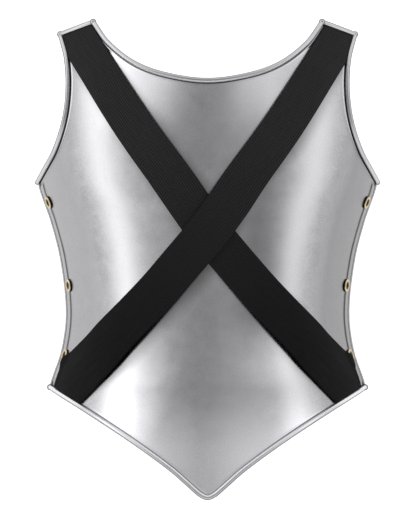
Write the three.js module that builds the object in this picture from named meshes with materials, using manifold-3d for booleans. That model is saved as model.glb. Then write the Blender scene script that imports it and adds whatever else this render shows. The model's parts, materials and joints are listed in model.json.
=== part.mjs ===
// Steel cuirass breastplate with two crossed webbing straps and six brass lacing eyelets.
// It lies on its back with the outer face up. Units are millimetres: +X to the right seen from the front,
// +Y towards the neck, +Z out of the chest. The side edges rest on the plane Z = 0.

import * as THREE from 'three';
import { mergeVertices } from 'three/addons/utils/BufferGeometryUtils.js';
import Module from 'manifold-3d';

const wasm = await Module();
wasm.setup();

// ---------------------------------------------------------------------------------------------
// Driving dimensions
// ---------------------------------------------------------------------------------------------

const SHEET = 1.2; // thickness of the steel
const TOUCH = 0.3; // gap kept between pieces that touch

// The neck, shoulder ends, arm holes and lower edge are rolled over a wire towards the outer face.
const ROLL = { radius: 2.5, centre: 2.05 }; // centre is its height above the middle of the sheet
// Each side edge has a thin bead and a folded flat hem.
const BEAD = { radius: 1.35, centre: 0.85 };
const HEM = { width: 13, rise: 0.9, rootedAt: 0.2 };
const KNOB = { shoulder: 3.3, hip: 3.2, armpit: 2.6 }; // radii of the rounded corners of the rolls

const ARMPIT_Y = 79;
const HIP_Y = -132;
const SEAT = 0.56; // height of the sheet's middle along the side edges
const SHOULDER_DROP = 36.5; // the sections' ends sink by this much at the shoulder
const POINT_RISE = 7.5; // and rise by this much at the lower point

// Sections across the plate: half width out to the side edge, height of the centre line, and how much
// flatter the middle is than a round arc (negative is more curved).
const SECTIONS = [
  { at: 'shoulder', y: 250, halfWidth: 190, centre: 86, flatness: 0.12 },
  { at: 'neck', y: 165, halfWidth: 186, centre: 113, flatness: 0.12 },
  { at: 'armpit', y: ARMPIT_Y, halfWidth: 173.3, centre: 121.5, flatness: 0.07 },
  { at: 'ribs', y: 40, halfWidth: 160.4, centre: 117, flatness: 0.02 },
  { at: 'midriff', y: 0, halfWidth: 150.3, centre: 113, flatness: -0.03 },
  { at: 'waist', y: -54, halfWidth: 144.4, centre: 111, flatness: -0.06 },
  { at: 'belt', y: -94, halfWidth: 149.1, centre: 116.5, flatness: -0.09 },
  { at: 'hip', y: HIP_Y, halfWidth: 161.3, centre: 124.5, flatness: -0.08 },
  { at: 'point', y: -240, halfWidth: 182, centre: 131, flatness: -0.15 },
];

// Right half of the outline in front view, along the middle of the rolls.
const NECK_LINE = [
  { x: 0, y: 179.4 },
  { x: 44.3, y: 186.1 },
  { x: 75.1, y: 198.7 },
  { x: 100.3, y: 219.4 },
  { x: 115.6, y: 241.3 },
];
const ARM_LINE = [
  { y: 230.1, x: 149.7 },
  { y: 204, x: 142.9 },
  { y: 172.6, x: 141 },
  { y: 141.8, x: 144.7 },
  { y: 111.2, x: 154.9 },
  { y: 91, x: 166.8 },
  { y: 80, x: 174 },
];
const LOWER_LINE = [
  { x: 160.9, y: -132.6 },
  { x: 124.9, y: -152 },
  { x: 77.9, y: -180.7 },
  { x: 36.4, y: -210.2 },
  { x: 13.4, y: -230.4 },
  { x: 7.5, y: -235.4 },
  { x: 0, y: -238.6 },
];

// The straps are mirror images but for their shift to the right. Side 1 starts at the left shoulder.
const UNDER_STRAP = { side: 1, shift: 0, isOver: false };
const OVER_STRAP = { side: -1, shift: 1.8, isOver: true };
// They lie this far above the sheet at their ends and stand off it by the slack in between.
const STRAP = {
  thickness: 2,
  lift: 0.45,
  slack: 3,
  slackRamp: 75,
  crossingY: 30.4,
  crossingReach: 72,
};
// Middle line of the strap that starts at the left shoulder, and its width, both in front view.
const STRAP_LINE = [
  { y: 235, x: -136.9, width: 38.5 },
  { y: 190, x: -109, width: 38.3 },
  { y: 130, x: -70.1, width: 39.5 },
  { y: 75, x: -30.8, width: 41 },
  { y: 30.4, x: 0, width: 41.2 },
  { y: -23, x: 43.4, width: 41 },
  { y: -51, x: 68.5, width: 41 },
  { y: -79, x: 95, width: 42.2 },
  { y: -93, x: 107.4, width: 42.8 },
  { y: -115, x: 129, width: 44 },
  { y: -133, x: 146.5, width: 44 },
];
// Room between a strap's end and the middle of the rim, along the sheet.
const STRAP_ROOM = { roll: 3.4, knob: 4, side: 14.5 };

// Eyelets sit over the inner edge of the hem. Heights are above the middle of the sheet.
const EYELET = {
  fromEdge: 12.8,
  bore: 3.6,
  barrel: 4.1,
  flange: 6.7,
  flangeThickness: 1.3,
  backFlange: 6,
  backThickness: 0.9,
};
const EYELET_ROWS = [
  { name: 'upper', y: 58.9 },
  { name: 'middle', y: -26.8 },
  { name: 'lower', y: -99.2 },
];

// ---------------------------------------------------------------------------------------------
// Curves and the surface of the plate
// ---------------------------------------------------------------------------------------------

// Smooth curve through a table's rows: one column against another, going straight on past its ends.
function curveThrough(rows, key, column) {
  const sorted = [...rows].sort((a, b) => a[key] - b[key]);
  const at = sorted.map((row) => row[key]);
  const value = sorted.map((row) => row[column]);
  const last = at.length - 1;
  const slope = at.map((_, i) => {
    const before = Math.max(i - 1, 0);
    const after = Math.min(i + 1, last);
    return (value[after] - value[before]) / (at[after] - at[before]);
  });
  return (t) => {
    if (t <= at[0]) return value[0] + slope[0] * (t - at[0]);
    if (t >= at[last]) return value[last] + slope[last] * (t - at[last]);
    let i = 0;
    while (t > at[i + 1]) i += 1;
    const step = at[i + 1] - at[i];
    const u = (t - at[i]) / step;
    return (
      (1 + 2 * u) * (1 - u) ** 2 * value[i] +
      u * (1 - u) ** 2 * step * slope[i] +
      u * u * (3 - 2 * u) * value[i + 1] +
      u * u * (u - 1) * step * slope[i + 1]
    );
  };
}

function mirrored(rows) {
  const other = rows.filter((row) => row.x !== 0).map((row) => ({ ...row, x: -row.x }));
  return [...rows, ...other];
}

const halfWidthAt = curveThrough(SECTIONS, 'y', 'halfWidth');
const centreAt = curveThrough(SECTIONS, 'y', 'centre');
const flatnessAt = curveThrough(SECTIONS, 'y', 'flatness');
const neckY = curveThrough(mirrored(NECK_LINE), 'x', 'y');
const lowerY = curveThrough(mirrored(LOWER_LINE), 'x', 'y');
const armX = curveThrough(ARM_LINE, 'y', 'x');
const strapX = curveThrough(STRAP_LINE, 'y', 'x');
const strapWidth = curveThrough(STRAP_LINE, 'y', 'width');

const SHOULDER_Y = SECTIONS[0].y;
const POINT_Y = SECTIONS[SECTIONS.length - 1].y;

// Height of a section's ends: level along the sides, falling to the shoulders and rising to the point.
function edgeHeight(y) {
  if (y > ARMPIT_Y) return SEAT - SHOULDER_DROP * ((y - ARMPIT_Y) / (SHOULDER_Y - ARMPIT_Y)) ** 2;
  if (y < HIP_Y) return SEAT + POINT_RISE * ((y - HIP_Y) / (POINT_Y - HIP_Y)) ** 2;
  return SEAT;
}

// Sine of the sheet's sideways tilt at the fraction t of the half width.
const sineAt = (t, section) => section.tilt * ((1 - section.flatness) * t + section.flatness * t ** 3);

// Fall of a section from its centre to the fraction t, in half widths: the tilt's slope summed by
// Simpson's rule.
function fall(t, section) {
  const steps = 16;
  let sum = 0;
  for (let i = 0; i <= steps; i += 1) {
    const sine = Math.min(sineAt((t * i) / steps, section), 0.9995);
    const weight = i === 0 || i === steps ? 1 : i % 2 ? 4 : 2;
    sum += (weight * sine) / Math.sqrt(1 - sine * sine);
  }
  return (sum * t) / steps / 3;
}

// The section at y, with the edge tilt that takes it from the centre's height down to the edge's.
const sections = new Map();
function sectionAt(y) {
  const key = y.toFixed(4);
  if (sections.has(key)) return sections.get(key);
  const section = { halfWidth: halfWidthAt(y), centre: centreAt(y), flatness: flatnessAt(y) };
  const depth = (section.centre - edgeHeight(y)) / section.halfWidth;
  let [low, high] = [0.3, 0.99];
  for (let i = 0; i < 30; i += 1) {
    section.tilt = (low + high) / 2;
    if (fall(1, section) < depth) low = section.tilt;
    else high = section.tilt;
  }
  sections.set(key, section);
  return section;
}

// Height of the middle of the sheet.
function heightAt(x, y) {
  const section = sectionAt(y);
  const t = Math.min(Math.abs(x) / section.halfWidth, 1.2);
  return section.centre - section.halfWidth * fall(t, section);
}

function normalAt(x, y) {
  const step = 0.5;
  const slopeX = (heightAt(x + step, y) - heightAt(x - step, y)) / (2 * step);
  const slopeY = (heightAt(x, y + step) - heightAt(x, y - step)) / (2 * step);
  return new THREE.Vector3(-slopeX, -slopeY, 1).normalize();
}

// The point at a height above the middle of the sheet, along the sheet's normal.
const pointAt = (x, y, above = 0) =>
  new THREE.Vector3(x, y, heightAt(x, y)).addScaledVector(normalAt(x, y), above);

// Half width of the place that lies a distance in from the side edge, measured along the sheet.
function inFromEdge(y, distance) {
  const section = sectionAt(y);
  const steps = 12;
  let x = section.halfWidth;
  for (let i = 0; i < steps; i += 1) {
    const sine = sineAt(x / section.halfWidth, section);
    x -= (distance / steps) * Math.sqrt(1 - sine * sine);
  }
  return x;
}

// Values from a to b in equal steps of about the given length.
function spread(a, b, step) {
  const count = Math.max(1, Math.round(Math.abs(b - a) / step));
  return Array.from({ length: count + 1 }, (_, i) => a + ((b - a) * i) / count);
}

// Eases from 0 to 1 as the value goes from one limit to the other, in either direction.
function ease(from, to, value) {
  const t = THREE.MathUtils.clamp((value - from) / (to - from), 0, 1);
  return t * t * (3 - 2 * t);
}

// ---------------------------------------------------------------------------------------------
// Solids
// ---------------------------------------------------------------------------------------------

function solidFrom(geometry) {
  const bare = geometry.clone();
  bare.deleteAttribute('normal');
  bare.deleteAttribute('uv');
  const merged = mergeVertices(bare, 1e-4);
  const mesh = new wasm.Mesh({
    numProp: 3,
    vertProperties: new Float32Array(merged.attributes.position.array),
    triVerts: new Uint32Array(merged.index.array),
  });
  return new wasm.Manifold(mesh);
}

function geometryFrom(solid) {
  const mesh = solid.getMesh();
  const geometry = new THREE.BufferGeometry();
  geometry.setAttribute('position', new THREE.BufferAttribute(mesh.vertProperties, 3));
  geometry.setIndex(new THREE.BufferAttribute(mesh.triVerts, 1));
  geometry.computeVertexNormals();
  return geometry;
}

// Closed body between two grids of points, rows by columns. Seen from the top side, the rows follow
// each other anticlockwise from the columns.
function slab(top, bottom) {
  const rows = top.length;
  const columns = top[0].length;
  const index = [];
  const id = (side, row, column) => (side * rows + row) * columns + column;
  const quad = (a, b, c, d) => index.push(a, b, c, a, c, d);
  for (let r = 0; r < rows - 1; r += 1) {
    for (let c = 0; c < columns - 1; c += 1) {
      quad(id(0, r, c), id(0, r, c + 1), id(0, r + 1, c + 1), id(0, r + 1, c));
      quad(id(1, r, c), id(1, r + 1, c), id(1, r + 1, c + 1), id(1, r, c + 1));
    }
    const end = columns - 1;
    quad(id(0, r, 0), id(0, r + 1, 0), id(1, r + 1, 0), id(1, r, 0));
    quad(id(0, r, end), id(1, r, end), id(1, r + 1, end), id(0, r + 1, end));
  }
  for (let c = 0; c < columns - 1; c += 1) {
    const end = rows - 1;
    quad(id(0, 0, c), id(1, 0, c), id(1, 0, c + 1), id(0, 0, c + 1));
    quad(id(0, end, c), id(0, end, c + 1), id(1, end, c + 1), id(1, end, c));
  }
  const position = [...top, ...bottom].flat().flatMap((point) => point.toArray());
  const geometry = new THREE.BufferGeometry();
  geometry.setAttribute('position', new THREE.Float32BufferAttribute(position, 3));
  geometry.setIndex(index);
  return geometry;
}

// ---------------------------------------------------------------------------------------------
// Breastplate
// ---------------------------------------------------------------------------------------------

const SHOULDER_IN = NECK_LINE[NECK_LINE.length - 1];
const SHOULDER_OUT = ARM_LINE[0];
const NECK_END = SHOULDER_IN.x;
const ARM_END = ARM_LINE[ARM_LINE.length - 1].y;
const LOWER_END = LOWER_LINE[0].x;

// Plan lines of the right-hand rims, running anticlockwise round the outline.
const lowerRim = spread(0, LOWER_END, 7).map((x) => ({ x, y: lowerY(x) }));
const sideRim = spread(HIP_Y, ARMPIT_Y, 10).map((y) => ({ x: halfWidthAt(y), y }));
const armRim = spread(ARM_END, SHOULDER_OUT.y, 9).map((y) => ({ x: armX(y), y }));
const endRim = [SHOULDER_OUT, SHOULDER_IN];
const neckRim = spread(NECK_END, 0, 9).map((x) => ({ x, y: neckY(x) }));
const flip = (rim) => rim.map(({ x, y }) => ({ x: -x, y })).reverse();

// The outline as a block that trims the sheet. It stands clear of the side edges, where the sheet
// ends itself.
function outlineBlock() {
  const clear = 4;
  const side = [HIP_Y + 1, ...spread(HIP_Y + 10, ARMPIT_Y - 10, 20), ARMPIT_Y - 2];
  const half = [
    ...lowerRim,
    ...side.map((y) => ({ x: halfWidthAt(y) + clear, y })),
    ...armRim,
    SHOULDER_IN,
    ...neckRim.slice(1),
  ];
  const loop = [...half, ...flip(half).slice(1, -1)];
  const shape = new THREE.Shape(loop.map(({ x, y }) => new THREE.Vector2(x, y)));
  return new THREE.ExtrudeGeometry(shape, { depth: 260, bevelEnabled: false }).translate(0, 0, -80);
}

// The curved sheet over the whole width, before its outline is cut.
function sheetBody() {
  const widest = Math.PI * 0.36;
  const across = spread(-widest, widest, widest / 12).map((angle) => Math.sin(angle) / Math.sin(widest));
  const rows = spread(POINT_Y - 4, SHOULDER_Y, 18);
  const grid = (above) => rows.map((y) => across.map((t) => pointAt(t * halfWidthAt(y), y, above)));
  return slab(grid(SHEET / 2), grid(-SHEET / 2));
}

// The folded band along one side edge.
function hemBody(side) {
  const rows = spread(HIP_Y + 1, ARMPIT_Y - 1, 15);
  const insets = spread(0, HEM.width, 6.5);
  if (side > 0) insets.reverse();
  const place = (y, inset, above) => pointAt(side * inFromEdge(y, inset), y, above);
  const grid = (above) => rows.map((y) => insets.map((inset) => place(y, inset, above)));
  return slab(grid(SHEET / 2 + HEM.rise), grid(HEM.rootedAt));
}

// A round wire along a rim.
function rimTube(rim, { radius, centre }, step) {
  const line = rim.map(({ x, y }) => pointAt(x, y, centre));
  const path = new THREE.CatmullRomCurve3(line, false, 'centripetal');
  const section = new THREE.Shape().absarc(0, 0, radius, 0, Math.PI * 2);
  const steps = Math.round(path.getLength() / step);
  const settings = { steps, curveSegments: 4, bevelEnabled: false, extrudePath: path };
  return new THREE.ExtrudeGeometry(section, settings);
}

function knob({ x, y }, radius) {
  const { x: px, y: py, z: pz } = pointAt(x, y, ROLL.centre);
  return new THREE.SphereGeometry(radius, 8, 6).translate(px, py, pz);
}

// The place of an eyelet on the middle of the sheet.
function eyeletSeat(side, y) {
  const x = side * inFromEdge(y, EYELET.fromEdge);
  return { centre: pointAt(x, y), normal: normalAt(x, y) };
}

// A geometry built along +Y from its own origin, turned to stand on an eyelet's place.
function standOnSeat(object, { centre, normal }) {
  object.position.copy(centre);
  object.quaternion.setFromUnitVectors(new THREE.Vector3(0, 1, 0), normal);
  object.updateMatrix();
  return object;
}

function eyeletHole(side, y) {
  const drill = new THREE.CylinderGeometry(EYELET.barrel + TOUCH, EYELET.barrel + TOUCH, 12, 12);
  const placed = standOnSeat(new THREE.Object3D(), eyeletSeat(side, y));
  return drill.applyMatrix4(placed.matrix);
}

function breastplateGeometry() {
  let plate = solidFrom(sheetBody()).intersect(solidFrom(outlineBlock()));
  const additions = [
    rimTube([...flip(lowerRim), ...lowerRim.slice(1)], ROLL, 9),
    rimTube([...neckRim, ...flip(neckRim).slice(1)], ROLL, 11),
    hemBody(-1),
    hemBody(1),
  ];
  for (const turn of [(rim) => rim, flip]) {
    additions.push(rimTube(turn(sideRim), BEAD, 16));
    additions.push(rimTube(turn(armRim), ROLL, 11));
    additions.push(rimTube(turn(endRim), ROLL, 18));
    additions.push(knob(turn([SHOULDER_IN])[0], KNOB.shoulder));
    additions.push(knob(turn([SHOULDER_OUT])[0], KNOB.shoulder));
    additions.push(knob(turn([LOWER_LINE[0]])[0], KNOB.hip));
    additions.push(knob(turn([armRim[0]])[0], KNOB.armpit));
  }
  for (const body of additions) plate = plate.add(solidFrom(body));
  for (const side of [-1, 1]) {
    for (const { y } of EYELET_ROWS) plate = plate.subtract(solidFrom(eyeletHole(side, y)));
  }
  const floor = new THREE.BoxGeometry(600, 700, 100).translate(0, 0, -50);
  return geometryFrom(plate.subtract(solidFrom(floor)));
}

// ---------------------------------------------------------------------------------------------
// Straps
// ---------------------------------------------------------------------------------------------

// The rims as straight stretches on the sheet, each with the room that a strap leaves there.
function stretches(rim, room) {
  const places = rim.map(({ x, y }) => pointAt(x, y));
  return places.slice(1).map((place, i) => ({ line: new THREE.Line3(places[i], place), room }));
}
const corners = [SHOULDER_IN, SHOULDER_OUT, LOWER_LINE[0]];
const rimStretches = [(rim) => rim, flip].flatMap((turn) => [
  ...[lowerRim, armRim, endRim, neckRim].flatMap((rim) => stretches(turn(rim), STRAP_ROOM.roll)),
  ...stretches(turn(sideRim), STRAP_ROOM.side),
  ...corners.flatMap((corner) => stretches(turn([corner, corner]), STRAP_ROOM.knob)),
]);

// Distance from a place on the sheet to the nearest rim, less the room that it needs there.
function spareRoom(x, y) {
  const place = pointAt(x, y);
  const nearest = new THREE.Vector3();
  let least = Infinity;
  for (const { line, room } of rimStretches) {
    line.closestPointToPoint(place, true, nearest);
    least = Math.min(least, nearest.distanceTo(place) - room);
  }
  return least;
}

// Height of a strap's underside above the middle of the sheet. It lies on the sheet at its ends and stands
// off it in between, climbs on to the hem and the lower eyelet, and the upper strap climbs over the other.
function undersideAt(x, y, along, isOver) {
  const onHem = HEM.rise * ease(inFromEdge(y, HEM.width + 11), inFromEdge(y, HEM.width + 3), Math.abs(x));
  const lowest = EYELET_ROWS[EYELET_ROWS.length - 1].y;
  const eyelet = eyeletSeat(Math.sign(x) || 1, lowest).centre;
  const onEyelet = 1.9 * ease(30, 15, eyelet.distanceTo(pointAt(x, y)));
  const { lift, slack, slackRamp, crossingY, crossingReach, thickness } = STRAP;
  const standOff = slack * ease(0, slackRamp, Math.min(along.before, along.after));
  const fromCrossing = Math.hypot(x, y - crossingY);
  const climb = isOver ? thickness + 3 * TOUCH : 0;
  const overOther = climb * ease(crossingReach, crossingReach / 2, fromCrossing);
  return SHEET / 2 + lift + onHem + onEyelet + standOff + overOther;
}

// A place on a strap: y runs down its middle line and u across it, from -0.5 to 0.5.
function strapPlace({ side, shift }, y, u) {
  const step = 0.5;
  const slant = Math.atan(strapX(y + step) - strapX(y - step));
  const out = u * strapWidth(y);
  return { x: side * (strapX(y) - out * Math.cos(slant)) + shift, y: y + out * Math.sin(slant) };
}

// Where a line along the strap comes to the rim, going up (1) or down (-1) from the crossing.
function strapEnd(strap, u, direction) {
  const isClear = (y) => {
    const place = strapPlace(strap, y, u);
    return spareRoom(place.x, place.y) >= 0;
  };
  let y = STRAP.crossingY;
  for (const step of [2, 0.1]) {
    while (Math.abs(y) < SHOULDER_Y && isClear(y + direction * step)) y += direction * step;
  }
  return y;
}

function strapGeometry(strap) {
  const lines = spread(-0.5, 0.5, 1 / 6).map((u) => ({
    u,
    from: strapEnd(strap, u, 1),
    to: strapEnd(strap, u, -1),
  }));
  const grid = (above) =>
    spread(0, 1, 1 / 30).map((t) =>
      lines.map(({ u, from, to }) => {
        const y = THREE.MathUtils.lerp(from, to, t);
        const place = strapPlace(strap, y, u);
        const along = { before: from - y, after: y - to };
        return pointAt(place.x, place.y, undersideAt(place.x, place.y, along, strap.isOver) + above);
      }),
    );
  const rows = [grid(STRAP.thickness), grid(0)];
  if (strap.side < 0) rows.forEach((face) => face.forEach((row) => row.reverse()));
  const geometry = slab(...rows);
  geometry.computeVertexNormals();
  return geometry;
}

// ---------------------------------------------------------------------------------------------
// Eyelets
// ---------------------------------------------------------------------------------------------

// Section of an eyelet: a rounded flange on the outer face, a barrel through the hole and a flange behind.
function eyeletGeometry() {
  const { bore, barrel, flange, flangeThickness, backFlange, backThickness } = EYELET;
  const under = SHEET / 2 + HEM.rise + 1.5 * TOUCH;
  const top = under + flangeThickness;
  const back = -SHEET / 2 - 2 * TOUCH;
  const profile = [
    [bore, back - backThickness],
    [backFlange - 0.6, back - backThickness],
    [backFlange, back],
    [barrel, back],
    [barrel, under],
    [flange, under],
    [flange, under + 0.6 * flangeThickness],
    [flange - 0.7, top],
    [bore + 0.9, top],
    [bore, under + 0.6 * flangeThickness],
    [bore, back - backThickness],
  ];
  return new THREE.LatheGeometry(profile.map(([r, h]) => new THREE.Vector2(r, h)), 12);
}

// ---------------------------------------------------------------------------------------------
// Assembly
// ---------------------------------------------------------------------------------------------

const steel = new THREE.MeshStandardMaterial({ color: 0xb4b5b8, metalness: 0.95, roughness: 0.38 });
const webbing = new THREE.MeshStandardMaterial({ color: 0x232323, metalness: 0, roughness: 0.85 });
const brass = new THREE.MeshStandardMaterial({ color: 0xb39a66, metalness: 0.9, roughness: 0.35 });

function named(name, geometry, material) {
  const mesh = new THREE.Mesh(geometry, material);
  mesh.name = name;
  return mesh;
}

const cuirass = new THREE.Group();
cuirass.add(named('breastplate', breastplateGeometry(), steel));
cuirass.add(named('strap_under', strapGeometry(UNDER_STRAP), webbing));
cuirass.add(named('strap_over', strapGeometry(OVER_STRAP), webbing));
for (const [sideName, side] of [['left', -1], ['right', 1]]) {
  for (const { name, y } of EYELET_ROWS) {
    const eyelet = named(`eyelet_${sideName}_${name}`, eyeletGeometry(), brass);
    cuirass.add(standOnSeat(eyelet, eyeletSeat(side, y)));
  }
}

// The origin is under the middle of the outline.
const extent = new THREE.Box3().setFromObject(cuirass.children[0]);
cuirass.position.y = -(extent.min.y + extent.max.y) / 2;

export default cuirass;
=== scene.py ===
"""Steel cuirass breastplate with two crossed webbing straps and six brass lacing eyelets.

The shapes are worked out in millimetres, on the same surface as the CAD part: x to the right seen from
the front, y towards the neck and z out of the chest. Meshes are turned into metres at the end.
"""

import json
import math

import bpy
import numpy as np
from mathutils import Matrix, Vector
from mathutils.geometry import delaunay_2d_cdt
from mathutils.kdtree import KDTree

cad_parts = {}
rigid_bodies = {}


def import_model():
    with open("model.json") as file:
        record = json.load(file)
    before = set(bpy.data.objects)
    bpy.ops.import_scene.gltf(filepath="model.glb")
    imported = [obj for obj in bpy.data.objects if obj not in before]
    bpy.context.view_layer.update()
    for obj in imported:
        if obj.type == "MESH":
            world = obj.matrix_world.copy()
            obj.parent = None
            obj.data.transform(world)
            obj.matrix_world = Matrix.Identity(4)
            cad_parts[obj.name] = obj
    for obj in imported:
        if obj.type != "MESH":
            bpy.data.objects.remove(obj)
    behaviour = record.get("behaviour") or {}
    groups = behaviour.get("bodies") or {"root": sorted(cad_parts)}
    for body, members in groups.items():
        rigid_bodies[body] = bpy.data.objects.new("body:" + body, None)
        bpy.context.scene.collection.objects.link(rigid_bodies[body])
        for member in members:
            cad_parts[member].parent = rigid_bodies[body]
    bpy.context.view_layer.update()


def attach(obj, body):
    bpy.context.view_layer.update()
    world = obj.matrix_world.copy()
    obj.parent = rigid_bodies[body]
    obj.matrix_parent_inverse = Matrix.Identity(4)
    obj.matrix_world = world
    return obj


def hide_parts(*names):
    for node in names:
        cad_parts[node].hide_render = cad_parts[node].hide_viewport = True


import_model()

# ---------------------------------------------------------------------------------------------
# Driving dimensions, in millimetres
# ---------------------------------------------------------------------------------------------

MM = 0.001
ORIGIN_Y = -2.135  # where the surface's own y = 0 lies in the frame

SHEET = 1.2
ROLL_RADIUS, ROLL_CENTRE = 2.5, 2.05  # the centre is its height above the middle of the sheet
BEAD_RADIUS, BEAD_CENTRE = 1.35, 0.85
HEM_WIDTH, HEM_RISE = 13, 0.9
KNOB_SHOULDER, KNOB_HIP, KNOB_ARMPIT = 3.3, 3.2, 2.6

ARMPIT_Y, HIP_Y = 79, -132
SEAT = 0.56  # height of the sheet's middle along the side edges
SHOULDER_DROP, POINT_RISE = 36.5, 7.5

# Sections across the plate: y, half width, height of the centre line, flatness of the middle.
SECTIONS = [
    (250, 190, 86, 0.12),
    (165, 186, 113, 0.12),
    (ARMPIT_Y, 173.3, 121.5, 0.07),
    (40, 160.4, 117, 0.02),
    (0, 150.3, 113, -0.03),
    (-54, 144.4, 111, -0.06),
    (-94, 149.1, 116.5, -0.09),
    (HIP_Y, 161.3, 124.5, -0.08),
    (-240, 182, 131, -0.15),
]
# Right half of the outline along the middle of the rolls. The neck and lower lines are (x, y) and the
# arm hole's is (y, x).
NECK_LINE = [(0, 179.4), (44.3, 186.1), (75.1, 198.7), (100.3, 219.4), (115.6, 241.3)]
ARM_LINE = [
    (230.1, 149.7),
    (204, 142.9),
    (172.6, 141),
    (141.8, 144.7),
    (111.2, 154.9),
    (91, 166.8),
    (80, 174),
]
LOWER_LINE = [
    (160.9, -132.6),
    (124.9, -152),
    (77.9, -180.7),
    (36.4, -210.2),
    (13.4, -230.4),
    (7.5, -235.4),
    (0, -238.6),
]
SHOULDER_IN = NECK_LINE[-1]
SHOULDER_OUT = (ARM_LINE[0][1], ARM_LINE[0][0])

# The strap that starts at the left shoulder, in front view: y, x of its middle line, and width. The other is
# its mirror image, shifted a little to the right.
STRAP_LINE = [
    (235, -136.9, 38.5),
    (190, -109, 38.3),
    (130, -70.1, 39.5),
    (75, -30.8, 41),
    (30.4, 0, 41.2),
    (-23, 43.4, 41),
    (-51, 68.5, 41),
    (-79, 95, 42.2),
    (-93, 107.4, 42.8),
    (-115, 129, 44),
    (-133, 146.5, 44),
]
# Each strap's side, shift to the right, and whether it lies over the other.
STRAPS = {"strap_under": (1, 0, 0), "strap_over": (-1, 1.8, 1)}
STRAP_WIDTH, STRAP_THICKNESS = 42, 2  # the width is the one that the cross section is laid out in
STRAP_LIFT, STRAP_SLACK, SLACK_RAMP = 0.45, 3, 75
CROSSING_Y, CROSSING_REACH, CROSSING_CLIMB = 30.4, 72, 2.9
# Room between a strap's end and the middle of a roll, a knob and the side edge.
ROOM_ROLL, ROOM_KNOB, ROOM_SIDE = 2.9, 3.8, 16.5
RIBS = 18

EYELET_ROWS = {"upper": 58.9, "middle": -26.8, "lower": -99.2}
EYELET_FROM_EDGE = 12.8
EYELET_BORE, EYELET_BARREL, EYELET_FLANGE, EYELET_BACK = 3.6, 4.1, 6.7, 6
EYELET_SIDES = 48
HOLE_RADIUS = 4.35

# ---------------------------------------------------------------------------------------------
# Curves and the surface of the plate
# ---------------------------------------------------------------------------------------------


def curve_through(rows):
    """Smooth curve through (at, value) rows, going straight on past its ends."""
    at, value = (np.array(column, float) for column in zip(*sorted(rows)))
    around_at = np.pad(at, 1, mode="edge")
    around_value = np.pad(value, 1, mode="edge")
    slope = (around_value[2:] - around_value[:-2]) / (around_at[2:] - around_at[:-2])

    def curve(t):
        t = np.asarray(t, float)
        i = np.clip(np.searchsorted(at, t) - 1, 0, len(at) - 2)
        step = at[i + 1] - at[i]
        along = (t - at[i]) / step
        u = np.clip(along, 0, 1)
        smooth = (
            (1 + 2 * u) * (1 - u) ** 2 * value[i]
            + u * (1 - u) ** 2 * step * slope[i]
            + u * u * (3 - 2 * u) * value[i + 1]
            + u * u * (u - 1) * step * slope[i + 1]
        )
        return smooth + (along - u) * step * np.where(along > 0.5, slope[i + 1], slope[i])

    return curve


def mirrored(rows):
    return rows + [(-x, y) for x, y in rows if x]


half_width = curve_through([(y, half) for y, half, _, _ in SECTIONS])
centre_height = curve_through([(y, centre) for y, _, centre, _ in SECTIONS])
flatness = curve_through([(y, flat) for y, _, _, flat in SECTIONS])
neck_y = curve_through(mirrored(NECK_LINE))
lower_y = curve_through(mirrored(LOWER_LINE))
arm_x = curve_through(ARM_LINE)
strap_x = curve_through([(y, x) for y, x, _ in STRAP_LINE])
strap_width = curve_through([(y, width) for y, _, width in STRAP_LINE])


def ease(start, end, value):
    """From 0 to 1 as the value goes from start to end, in either direction."""
    t = np.clip((value - start) / (end - start), 0, 1)
    return t * t * (3 - 2 * t)


def edge_height(y):
    shoulder = SHOULDER_DROP * (np.maximum(y - ARMPIT_Y, 0) / (SECTIONS[0][0] - ARMPIT_Y)) ** 2
    point = POINT_RISE * (np.maximum(HIP_Y - y, 0) / (HIP_Y - SECTIONS[-1][0])) ** 2
    return SEAT - shoulder + point


def fall(t, tilt, flat):
    """Fall of a section from its centre to the fraction t, in half widths, by Simpson's rule."""
    steps = 16
    weight = np.full(steps + 1, 2.0)
    weight[1::2] = 4
    weight[[0, -1]] = 1
    part = np.asarray(t)[..., None] * np.linspace(0, 1, steps + 1)
    flat = np.asarray(flat)[..., None]
    sine = np.asarray(tilt)[..., None] * ((1 - flat) * part + flat * part**3)
    sine = np.minimum(sine, 0.9995)
    return t * (weight * sine / np.sqrt(1 - sine**2)).sum(-1) / (3 * steps)


def tilts(y):
    """Sine of the tilt at the side edge that takes each section down to its edge height."""
    depth = (centre_height(y) - edge_height(y)) / half_width(y)
    low, high = np.full(y.shape, 0.3), np.full(y.shape, 0.99)
    for _ in range(30):
        middle = (low + high) / 2
        short = fall(np.ones(y.shape), middle, flatness(y)) < depth
        low = np.where(short, middle, low)
        high = np.where(short, high, middle)
    return (low + high) / 2


TILT_Y = np.arange(-262, 272, 0.5)
TILT = tilts(TILT_Y)


def tilt_at(y):
    return np.interp(y, TILT_Y, TILT)


def height(x, y):
    t = np.minimum(np.abs(x) / half_width(y), 1.2)
    return centre_height(y) - half_width(y) * fall(t, tilt_at(y), flatness(y))


def normal(x, y):
    step = 0.5
    slope_x = (height(x + step, y) - height(x - step, y)) / (2 * step)
    slope_y = (height(x, y + step) - height(x, y - step)) / (2 * step)
    return unit(np.stack([-slope_x, -slope_y, np.ones_like(slope_x)], -1))


def unit(vectors):
    return vectors / np.linalg.norm(vectors, axis=-1, keepdims=True)


def place(x, y, above=0.0):
    """Points at a height above the middle of the sheet, along its normal."""
    x, y = np.broadcast_arrays(np.asarray(x, float), np.asarray(y, float))
    ground = np.stack([x, y, height(x, y)], -1)
    return ground + normal(x, y) * np.asarray(above, float)[..., None]


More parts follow.
